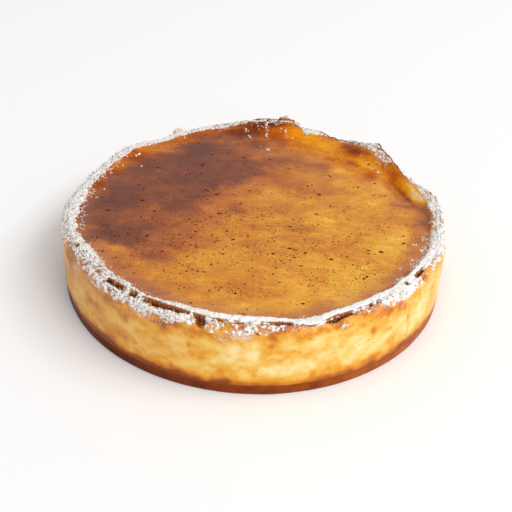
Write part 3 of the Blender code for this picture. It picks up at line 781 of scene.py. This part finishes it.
def wall_material():
    """Golden pastry: cream patches, amber veins, brown near the base and under the crust, with painted shade
    on its left side, in its burst bubbles and in the groove.
    """
    t = new_material("golden_pastry_side")
    toast = t.grained(t.grained(t.field("toast"), 0.14, 420.0, 4.0), 0.20, 120.0, 3.0, 0.55)
    colour = t.ramp(toast, [
        (0.02, 253, 224, 158), (0.20, 247, 202, 108), (0.38, 237, 168, 52), (0.56, 212, 126, 32),
        (0.74, 164, 82, 28), (0.90, 116, 54, 22), (1.00, 84, 36, 14),
    ])
    # painted shade: the left side is mixed towards a dull khaki, darker than the pastry is
    colour = t.mix(t.math("MULTIPLY", t.field("painted_left_shade"), 0.42), colour, srgb(198, 150, 92))
    grain = t.plus(t.noise(1400.0, 2.0), t.field("powder"), 0.35)
    colour = t.mix(t.spread(grain, 0.62, 0.80, 0.0, 0.85), colour, srgb(238, 214, 200))
    # the pastry's amber inside burst bubbles, darkened with their depth as painted shade
    colour = t.mix(t.spread(t.field("hollow"), 0.0, 0.8), colour, srgb(112, 50, 6))
    return t.surface(colour, 0.42, 0.18, (600.0, 4.0, 0.0002, 0.45), (0.25, 0.004, 0.002, 0.0008))


def base_material():
    """Brown baked pastry, a little greasy, with pale specks, and painted shade that darkens it towards the
    left.
    """
    t = new_material("brown_pastry")
    place = t.add("SeparateXYZ", {"Vector": t.place()}).outputs
    # painted shade: the colour darkens towards the left, the shaded side, as the place's X falls
    colour = t.ramp(t.plus(t.grained(0.5, 0.9, 90.0, 4.0), place["X"], 4.0), [
        (0.00, 68, 28, 12), (0.30, 104, 46, 20), (0.55, 136, 62, 24), (0.95, 182, 102, 48),
    ])
    near_top = t.spread(place["Z"], BASE_THICKNESS - 0.0030, BASE_THICKNESS - 0.0006, 0.0, 0.5)
    colour = t.mix(near_top, colour, srgb(146, 70, 24))
    specks = t.spread(t.noise(1500.0, 2.0, 0.5), 0.70, 0.76, 0.0, 0.6)
    return t.surface(t.mix(specks, colour, srgb(216, 150, 96)), 0.36, 0.05, (700.0, 4.0, 0.0002, 0.5))


def sugar_material():
    """Icing sugar: matt white where it lies thick, and tinted by the crust where it is thin."""
    t = new_material("icing_sugar")
    grey = t.plus(t.noise(1300.0, 2.0), t.field("flecks"), 0.10)
    white = t.mix(t.spread(grey, 0.60, 0.72), srgb(248, 246, 243), srgb(196, 182, 174))
    elsewhere = t.place_changed("ADD", (0.3, 0.3, 0.3))
    brown = t.plus(t.noise(1000.0, 2.0, 0.6, elsewhere), t.field("flecks"), 0.10)
    white = t.mix(t.spread(brown, 0.66, 0.74, 0.0, 0.85), white, srgb(132, 100, 84))
    thin = t.math("MULTIPLY", t.spread(t.field("thickness"), 0.0, 0.45, 1.0, 0.0), 0.8)
    return t.surface(t.mix(thin, white, srgb(188, 142, 112)), 0.9, 0.25, (1800.0, 3.0, 0.0003, 0.8))


def plain_material(name, dark, light, scale, roughness, specular):
    """Two tones mixed by noise, for crumbs, flakes, grains and specks."""
    t = new_material(name)
    colour = t.mix(t.spread(t.noise(scale), 0.35, 0.65), srgb(*dark), srgb(*light))
    return t.surface(colour, roughness, specular, (scale * 2.0, 3.0, 0.0002, 0.5))


# ======== the pieces
def custard_piece():
    """The filling, with its skin, its lip and the side that shows in the groove."""
    theta = around(CUSTARD_STEPS)
    edge = lip_edge(theta)
    inner = np.linspace(*SKIN_INNER_RADII, SKIN_ROWS[0])[:, None]
    outward = np.linspace(0.0, 1.0, SKIN_ROWS[1])[:, None]
    outer = SKIN_SPLIT + (edge - SKIN_SPLIT) * outward
    radius = np.vstack([np.broadcast_to(inner, (len(inner), CUSTARD_STEPS)), outer])
    shrink = edge - LIP_OUTER_RADIUS
    drop = skin_height(theta, edge) - (LIP_HEIGHT - LIP_ROUNDING)
    side = [(LIP_OUTER_RADIUS - 0.0002, 0.0419), (GROOVE_RADIUS, 0.0390), (CUSTARD_RADIUS, 0.0350)]
    foot = [(CUSTARD_RADIUS, 0.02), *[(inward, CUSTARD_FOOT) for inward in (CUSTARD_RADIUS, 0.05, 0.001)]]
    rows = []
    for side_radius, height in [*dense(side, 0.0006), *foot]:
        under = smooth(0.034, 0.040, height)
        rows.append(polar(theta, side_radius + shrink * under, height + drop * under))
    points = np.concatenate([on_skin(theta, radius), np.array(rows)])
    browning, amber = skin_colouring(points)
    # partly browning, partly painted shade: the custard's side and the lip's edge where the groove is open
    groove_shade = np.ones(amber.shape)
    groove_shade[: len(radius)] = smooth(0.0005, 0.0, edge - radius) * (1.0 - bridged_at(theta))
    # painted shade along the inside of the lip, strongest at the front
    reach = radius_of(points) + 0.003 * layered(points, 0.012, 94)
    lip_shade = round_rim(theta, SKIN_LIP_SHADE) * smooth(*SKIN_LIP_SHADE_RADII, reach)
    fields = {"browning": browning, "amber": amber, "groove_shade": groove_shade, "lip_shade": lip_shade}
    return disc_object("custard_filling", points, custard_material(), fields)


def wall_section():
    """The wall's closed section, finely divided: crest, outside, foot and inside."""
    rise = RIM_HEIGHT - SHOULDER_HEIGHT
    shoulder = [
        (CREST_RADIUS + (FLAN_RADIUS - CREST_RADIUS) * math.sin(a), RIM_HEIGHT - rise * (1 - math.cos(a)))
        for a in np.linspace(0.0, math.pi / 2, 16)
    ]
    below = (FLAN_RADIUS, FINE_ROWS_END)
    top = dense([(WALL_TOP_INNER_RADIUS, RIM_HEIGHT - 0.0004), *shoulder, below], CRUST_SPACING)
    side = dense([below, (FLAN_RADIUS, WALL_FOOT + 0.0002)], SIDE_SPACING)[1:]
    foot = [(FLAN_RADIUS - 0.0002, WALL_FOOT), (FLAN_RADIUS - 0.0009, WALL_FOOT)]
    inside = [(WALL_INNER_RADIUS, height) for height in (WALL_FOOT, 0.020, 0.035)]
    neck = dense([(WALL_INNER_RADIUS + 0.0003, 0.0385), (WALL_TOP_INNER_RADIUS - 0.0002, 0.0410)], 0.0008)
    return np.vstack([top, side, foot, inside, neck])


def wall_piece(material):
    """The pastry wall with its crust."""
    section = wall_section()
    radius, height, hollow = wall_form(around(WALL_STEPS), section[:, :1], section[:, 1:])
    points = polar(around(WALL_STEPS), radius, height)
    # painted shade on the left side, above the foot
    painted_left_shade = smooth(0.0, 0.095, -points[..., 0]) * smooth(0.008, 0.014, points[..., 2])
    fields = {"toast": toast_at(points), "hollow": hollow, "powder": powder_at(points), "painted_left_shade": painted_left_shade}
    faces = grid_faces(len(section), WALL_STEPS, ring=True)
    return mesh_object("pastry_side", points.reshape(-1, 3), faces, material, fields)


def base_piece():
    """The pastry disc under the flan."""
    theta, turn = around(BASE_STEPS), np.linspace(0.0, math.pi / 2, 6)
    top, foot = BASE_TOP_EDGE, BASE_FOOT_EDGE
    upper = [(FLAN_RADIUS - top + top * math.sin(a), BASE_THICKNESS - top + top * math.cos(a)) for a in turn]
    lower = [(FLAN_RADIUS - foot + foot * math.cos(a), foot - foot * math.sin(a)) for a in turn]
    side = dense([upper[-1], lower[0]], 0.0008)[1:-1]
    above, under = [(0.002, BASE_THICKNESS), (0.06, BASE_THICKNESS)], [(0.06, 0.0), (0.002, 0.0)]
    section = np.array([*above, *upper, *side, *lower, *under])
    radius, height = section[:, :1], section[:, 1:]
    points = polar(theta, radius, height)
    uneven = 0.00018 * noise(points, 0.012, 90) + 0.00006 * noise(points, 0.003, 91)
    on_side = smooth(0.104, 0.109, radius) * smooth(0.0, 0.001, height)
    inset = BASE_TOP_INSET * smooth(BASE_THICKNESS - 0.0014, BASE_THICKNESS - 0.0004, height)
    radius = np.minimum(radius + uneven * on_side, FLAN_RADIUS + 0.0002) - inset * on_side
    return disc_object("base_disc", polar(theta, radius, height), base_material())


def rim_surface(theta):
    """The rim's top as one grid, from the skin over the lip, the groove and the crust to the side.

    It comes with the zone of each row (0 custard, 1 groove, 2 crust), and with how bare of sugar each
    point is: at the edges of the open groove and in the burst bubbles.
    """
    edge, bridged = lip_edge(theta), bridged_at(theta)
    radius = RIM_START + (edge - RIM_START) * np.linspace(0.0, 1.0, RIM_SKIN_ROWS)[:, None]
    on_custard = on_skin(theta, radius, bridged * lip_rounding(edge, radius))
    section = wall_section()
    section = section[: np.argmax(section[:, 1] < RIM_END)]
    wall_radius, wall_height, hollow = wall_form(theta, section[:, :1], section[:, 1:])
    on_wall = polar(theta, wall_radius, wall_height)
    across = np.linspace(0.0, 1.0, GROOVE_ROWS + 2)[1:-1][:, None, None]
    sag = np.sin(across[..., 0] * math.pi) * (GROOVE_DEPTH * (1.0 - bridged) - GROOVE_FILLING * bridged)
    on_groove = on_custard[-1:] * (1 - across) + on_wall[:1] * across
    on_groove = on_groove - (sag + 0.0003 * layered(on_groove, 0.003, 105))[..., None] * (0.0, 0.0, 1.0)
    zones = np.repeat((0, 1, 2), (len(on_custard), len(on_groove), len(on_wall)))
    bare_edge = smooth(0.0006, 0.0, edge - radius)
    from_groove = section[:, :1] - WALL_TOP_INNER_RADIUS + 0.0005 * layered(on_wall, 0.0016, 113)
    bare_crest = smooth(0.0008, 0.0001, from_groove)
    bare = np.concatenate([
        bare_edge * (1.0 - bridged),
        np.zeros(on_groove.shape[:2]),
        np.maximum(bare_crest * (1.0 - bridged), hollow),
    ])
    return np.concatenate([on_custard, on_groove, on_wall]), zones, bare


def bridge_piece(material):
    """The crust in the groove between the filling and the wall, where it isn't wholly open."""
    theta = around(SUGAR_STEPS)
    points, zones, _ = rim_surface(theta)
    rows = points[np.argmax(zones == 1) - 1 : np.argmax(zones == 2) + 1]
    across = np.linspace(0.0, 1.0, len(rows))[:, None]
    # darker where the groove is open and deep: painted shade in the groove
    open_groove_shade = (1.0 - bridged_at(theta)) * np.sin(across * math.pi)
    toast = 0.60 + 0.60 * open_groove_shade + 0.12 * layered(rows, 0.003, 107)
    fields = {"toast": toast, "hollow": np.zeros_like(toast), "powder": np.full_like(toast, 0.2)}
    faces = grid_faces(len(rows), SUGAR_STEPS)
    return mesh_object("crust_bridge", rows.reshape(-1, 3), faces, material, fields)


def sugar_cover(theta, points, zones):
    """How well the sugar covers each point of the rim's top, from 0 to 1."""
    ragged = 0.0011 * layered(points, 0.0042, 100) + 0.0006 * noise(points, 0.0012, 104)
    inside = radius_of(points) - round_rim(theta, SUGAR_INNER_RADIUS, MM)
    inner = smooth(-0.0006, 0.0007, inside + ragged * (1.0 - EVENED_OUT * round_rim(theta, SUGAR_EVENNESS)))
    above = points[..., 2] - round_rim(theta, SUGAR_OUTER_HEIGHT, MM)
    outer = smooth(-0.0009, 0.0008, above + 1.6 * ragged)
    zone = zones[:, None]
    across = np.clip((np.cumsum(zone == 1, axis=0) - 0.5) / np.sum(zone == 1), 0.0, 1.0)
    taper = GROOVE_TAPER * (2.0 * across - 1.0) ** 2
    bridged = smooth(0.35, 0.85, bridged_at(theta) + taper + GROOVE_RAGGEDNESS * ragged)
    lip, crust = round_rim(theta, LIP_COVER) * inner, round_rim(theta, CRUST_COVER) * outer
    return np.where(zone == 0, lip, np.where(zone == 1, bridged, crust))


def most_small(random, half_sizes, falling, count):
    """Random half sizes in a range, most of them near its small end."""
    low, high = half_sizes
    return low + (high - low) * random.beta(1.4, falling, (count, 1))


def sugar_pieces():
    """The crust of sugar on the rim, its loose grains, and those spilled on the skin."""
    theta = around(SUGAR_STEPS)
    points, zones, bare = rim_surface(theta)
    cover = sugar_cover(theta, points, zones) * (1.0 - BLOWN_OFF * smooth(0.1, 0.7, bare))
    lumpy = 0.6 * noise(points, 0.0026, 110) + noise(points, 0.0013, 111) + 0.8 * noise(points, 0.0007, 112)
    even = round_rim(theta, SUGAR_EVENNESS) * (zones[:, None] == 0)
    thickness = SUGAR_GAIN * (cover - SUGAR_FROM) + SUGAR_LUMPS * lumpy * (1.0 - EVENED_OUT * even)
    thickness = SUGAR_DEPTH * np.clip(thickness, THINNEST, THICKEST)
    raised = points + normals(points) * thickness[..., None]
    faces = grid_faces(*cover.shape)
    faces = faces[(thickness.ravel()[faces] > 0.0).any(axis=1)]
    used, faces = np.unique(faces, return_inverse=True)
    flecks = np.broadcast_to(round_rim(theta, SUGAR_FLECKS), cover.shape)
    fields = {"thickness": thickness.ravel()[used] / SUGAR_DEPTH, "flecks": flecks.ravel()[used]}
    vertices, faces = raised.reshape(-1, 3)[used], faces.reshape(-1, 4)
    crust = mesh_object("icing_sugar", vertices, faces, sugar_material(), fields)

    random = np.random.default_rng(120)
    chance = ((np.clip(cover, 0.0, 1.0) ** 1.5 + 0.05 * (cover > 0.05)) * (1.0 - 0.8 * even)).ravel()
    picked = random.choice(cover.size, SUGAR_GRAINS, p=chance / chance.sum())
    surface = (points + normals(points) * np.maximum(thickness, 0.0)[..., None]).reshape(-1, 3)
    places = [surface[picked] + random.normal(0.0, 0.00016, (SUGAR_GRAINS, 3))]
    sizes = [most_small(random, GRAIN_HALF_SIZES, 3.0, SUGAR_GRAINS)]
    for angle, half_width, outer, reach, clots, each in SPILLS:
        at = np.radians(angle + half_width * np.clip(random.normal(0, 0.55, clots), -1.6, 1.6))
        radius = (outer - reach * random.exponential(0.36, clots)) * MM
        spread = CLOT_SIZE * random.normal(0, 1, (2, clots * each))
        at, radius = np.repeat(at, each) + spread[0] / LIP_FOOT_RADIUS, np.repeat(radius, each) + spread[1]
        places.append(on_skin(at, np.minimum(radius, lip_edge(at)), GRAIN_LIFT))
        sizes.append(most_small(random, SPILL_GRAIN_HALF_SIZES, 2.4, clots * each))
    for angle, outer, inner, blobs, half_size in SUGAR_STREAKS:
        at = np.radians(angle + random.normal(0, 0.18, blobs))
        places.append(on_skin(at, random.uniform(inner, outer, blobs) * MM, GRAIN_LIFT))
        sizes.append(half_size * MM * random.uniform(0.7, 1.25, (blobs, 1)))
    sizes = np.concatenate(sizes)
    sizes = [sizes * random.uniform(0.6, 1.25, (len(sizes), 3))]
    material = plain_material("sugar_grain", (226, 220, 214), (252, 250, 248), 900.0, 0.8, 0.4)
    return crust, scattered("sugar_grains", bead(5), places, sizes, 0.25, random, material)


def vanilla_piece():
    """Vanilla specks in the skin, in loose strings that are denser in front, and a few in the side."""
    random = np.random.default_rng(130)
    places, sizes = [], []
    for strings, length, half_length, half_width in VANILLA_SIZES:
        count = strings * length
        radius = np.sqrt(random.uniform(0.0, 1.0, strings)) * VANILLA_RADIUS
        turn = random.uniform(0.0, 2 * math.pi, strings)
        moved = random.uniform(size=strings) < VANILLA_FRONT_SHARE
        x = np.where(moved, random.normal(0.004, 0.045, strings), radius * np.cos(turn))
        y = np.where(moved, random.normal(-0.032, 0.024, strings), radius * np.sin(turn))
        x = np.repeat(x, length) + random.normal(0.0, 0.0032, count)
        y = np.repeat(y, length) + random.normal(0.0, 0.0016, count)
        theta, radius = np.arctan2(y, x), np.hypot(x, y)
        inside = radius < VANILLA_RADIUS
        places.append(on_skin(theta[inside], radius[inside]))
        count = len(places[-1])
        size = random.uniform(0.55, 1.45, (count, 1)) * (half_length, half_width, VANILLA_HALF_HEIGHT)
        sizes.append(size * MM * random.uniform(0.75, 1.25, (count, 3)))
    yaw = random.normal(0.0, 0.6, sum(len(made) for made in places))
    c, s, zero, one = np.cos(yaw), np.sin(yaw), np.zeros(len(yaw)), np.ones(len(yaw))
    turns = np.stack([c, -s, zero, s, c, zero, zero, zero, one], axis=-1).reshape(-1, 3, 3)

    theta = random.uniform(0.0, 2 * math.pi, SIDE_SPECKS)
    height = random.uniform(0.010, 0.037, SIDE_SPECKS)
    radius, height, _ = wall_form(theta, FLAN_RADIUS, height)
    places.append(polar(theta, radius, height))
    size = MM * random.uniform(0.12, 0.34, (SIDE_SPECKS, 1))
    sizes.append(size * random.uniform(0.6, 1.2, (SIDE_SPECKS, 3)))
    turns = np.concatenate([turns, turned_about(random, SIDE_SPECKS)])
    material = plain_material("vanilla", (64, 20, 4), (118, 46, 8), 1500.0, 0.7, 0.05)
    return scattered("vanilla_specks", bead(6), places, sizes, 0.25, random, material, turns)


def on_rim(theta, radius, lift):
    """Points so much above the rim's top, on the custard or on the crust."""
    section = np.clip(radius, CREST_RADIUS, FLAN_RADIUS)
    fall = (section - CREST_RADIUS) / (FLAN_RADIUS - CREST_RADIUS)
    height = RIM_HEIGHT - (RIM_HEIGHT - SHOULDER_HEIGHT) * (1 - np.sqrt(np.maximum(1 - fall**2, 0.0)))
    _, on_crust, _ = wall_form(theta, section, height)
    edge = lip_edge(theta)
    on_custard = skin_height(theta, np.minimum(radius, edge))
    return polar(theta, radius, np.where(radius < edge, on_custard, on_crust) + lift)


def crumb_piece(name, table, dark, light, seed):
    """Crumbs stuck to the rim."""
    random = np.random.default_rng(seed)
    places, sizes = [], []
    for angle, half_width, low, high, count, half_size in table:
        theta = np.radians(angle + half_width * random.uniform(-1, 1, count))
        places.append(on_rim(theta, random.uniform(low, high, count) * MM, 0.0003))
        size = half_size * MM * random.uniform(0.45, 1.25, (count, 1))
        sizes.append(size * random.uniform(0.6, 1.3, (count, 3)))
    material = plain_material(name, dark, light, 700.0, 0.4, 0.3)
    return scattered(name, ball(6, 8), places, sizes, 0.16, random, material)


def edge_piece():
    """Thin brown edges of pastry along the crest, as ragged tubes."""
    random = np.random.default_rng(160)
    turn = around(6)
    vertices, faces = [], []
    for first, last, out_first, out_last, up_first, up_last, half_thickness in BROWN_EDGES:
        share = np.linspace(0.0, 1.0, int((last - first) * 4))
        theta = np.radians(first + (last - first) * share)
        radius, height, _ = wall_form(theta, CREST_RADIUS, RIM_HEIGHT)
        lip_radius = lip_edge(theta) - BROWN_EDGE_INSET
        lip_height = skin_height(theta, lip_radius)
        on_lip = smooth(0.0, 0.001, lip_height - height)
        radius, height = radius + on_lip * (lip_radius - radius), height + on_lip * (lip_height - height)
        wander = layered(polar(theta, FLAN_RADIUS, 0.0) + first, 0.004, 161)
        radius = radius + (out_first + (out_last - out_first) * share + 0.5 * wander) * MM
        height = height + (up_first + (up_last - up_first) * share + 0.4 * wander) * MM
        thick = half_thickness * MM * np.sqrt(np.sin(np.clip(share, 0.01, 0.99) * math.pi))
        thick = (thick * random.uniform(0.6, 1.3, len(share)))[:, None]
        ring_radius = radius[:, None] + thick * np.cos(turn)
        ring_height = height[:, None] + 1.5 * thick * np.sin(turn)
        points = polar(theta[:, None], ring_radius, ring_height).reshape(-1, 3)
        index = np.arange(len(points)).reshape(-1, len(turn)) + sum(len(made) for made in vertices)
        near, far = index[:-1], index[1:]
        quads = np.stack([near, np.roll(near, -1, axis=1), np.roll(far, -1, axis=1), far], axis=-1)
        faces.append(quads.reshape(-1, 4))
        vertices.append(points)
    material = plain_material("brown_edge", (96, 44, 22), (168, 100, 54), 700.0, 0.5, 0.2)
    return mesh_object("brown_edges", np.concatenate(vertices), np.concatenate(faces), material)


def flake_piece():
    """The larger flakes of the rim: flattened, ragged and a little curled."""
    random = np.random.default_rng(150)
    corners, faces = ball(14, 22)
    vertices, all_faces = [], []
    for angle, outside, above, half_length, half_thickness, half_height, tilt in RIM_FLAKES:
        theta = math.radians(angle)
        radius, height, _ = wall_form(theta, CREST_RADIUS, RIM_HEIGHT)
        shape = corners * (half_thickness * MM, half_length * MM, half_height * MM)
        shape = shape * (1.0 + 0.30 * layered(shape + random.uniform(-1, 1, 3), 0.0016, 151)[:, None])
        shape[:, 0] += 0.5 * half_thickness * MM * (shape[:, 1] / (half_length * MM)) ** 2
        reach = min(radius + outside * MM, FLAN_RADIUS - half_thickness * MM)
        turn = Matrix.Rotation(theta, 3, "Z") @ Matrix.Rotation(math.radians(tilt), 3, "X")
        all_faces.append(np.array(faces) + len(corners) * len(vertices))
        vertices.append(shape @ np.array(turn).T + polar(theta, reach, height + above * MM))
    material = plain_material("flake", (220, 184, 150), (240, 233, 227), 600.0, 0.7, 0.2)
    return mesh_object("rim_flakes", np.concatenate(vertices), np.concatenate(all_faces), material)


# ======== camera and studio
def add_camera():
    """The camera, aimed at the flan's middle and rolled a little, framed as the picture is."""
    data = bpy.data.cameras.new("camera")
    data.sensor_width = SENSOR
    data.lens = FOCAL_PIXELS / PICTURE_SIZE * SENSOR
    data.shift_x = (PICTURE_SIZE / 2 - TARGET_PIXEL[0]) / PICTURE_SIZE
    data.shift_y = (TARGET_PIXEL[1] - PICTURE_SIZE / 2) / PICTURE_SIZE
    data.clip_start = 0.01
    camera = bpy.data.objects.new("camera", data)
    camera.matrix_world = (
        Matrix.Translation(TARGET)
        @ Matrix.Rotation(math.pi / 2 - CAMERA_ELEVATION, 4, "X")
        @ Matrix.Rotation(CAMERA_ROLL, 4, "Z")
        @ Matrix.Translation((0.0, 0.0, CAMERA_DISTANCE))
    )
    bpy.context.scene.collection.objects.link(camera)
    bpy.context.scene.camera = camera


def add_world():
    """Even light from all round, a little stronger from the right and the front."""
    t = Tree(bpy.data.worlds.new("studio"), "Background")
    direction = t.add("TexCoord").outputs["Generated"]
    facing = t.add("VectorMath", {0: direction, 1: WORLD_BRIGHTER_SIDE}, operation="DOT_PRODUCT")
    strength = t.math("MULTIPLY_ADD", facing.outputs["Value"], WORLD_CONTRAST, WORLD_STRENGTH)
    bpy.context.scene.world = t.finish({"Color": WHITE, "Strength": strength})


def add_key_light():
    """A wide soft light from the right, like a large softbox or a window."""
    data = bpy.data.lights.new("key", "AREA")
    data.shape = "RECTANGLE"
    data.size, data.size_y = KEY_SIZES
    data.energy = KEY_POWER
    light = bpy.data.objects.new("key", data)
    light.location = KEY_PLACE
    light.rotation_mode = "QUATERNION"
    light.rotation_quaternion = (TARGET - Vector(KEY_PLACE)).to_track_quat("-Z", "Y")
    bpy.context.scene.collection.objects.link(light)


def add_studio():
    """A pale floor and soft light, with colours shown as they are."""
    bpy.context.scene.view_settings.view_transform = "Standard"
    add_world()
    add_key_light()
    corners = FLOOR_HALF * np.array([(-1, -1, 0), (1, -1, 0), (1, 1, 0), (-1, 1, 0)])
    looks = {"Base Color": FLOOR_COLOUR, "Roughness": 0.9, "Specular IOR Level": 0.1}
    material = new_material("pale_floor").finish(
        looks | {"Emission Color": WHITE, "Emission Strength": FLOOR_GLOW}
    )
    mesh_object("floor", corners, [(0, 1, 2, 3)], material)


# ======== the whole
def main():
    pastry = wall_material()
    custard, wall, base = custard_piece(), wall_piece(pastry), base_piece()
    sugar, grains = sugar_pieces()
    vanilla, flakes, edges = vanilla_piece(), flake_piece(), edge_piece()
    bridge = bridge_piece(pastry)
    amber = crumb_piece("amber_crumbs", AMBER_CRUMBS, (120, 52, 10), (214, 136, 40), 140)
    dark = crumb_piece("dark_crumbs", DARK_CRUMBS, (58, 28, 22), (120, 70, 48), 145)
    for piece, slot in (
        (custard, "baked_custard"), (wall, "golden_pastry"), (base, "brown_pastry"),
        (sugar, None), (grains, None), (vanilla, None), (amber, "golden_pastry"), (dark, None),
        (flakes, "golden_pastry"), (edges, "golden_pastry"), (bridge, "golden_pastry"),
    ):
        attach(piece, "root")
    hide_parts("custard")
    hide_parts("pastry_wall")
    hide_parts("pastry_base")
    add_camera()
    add_studio()


main()
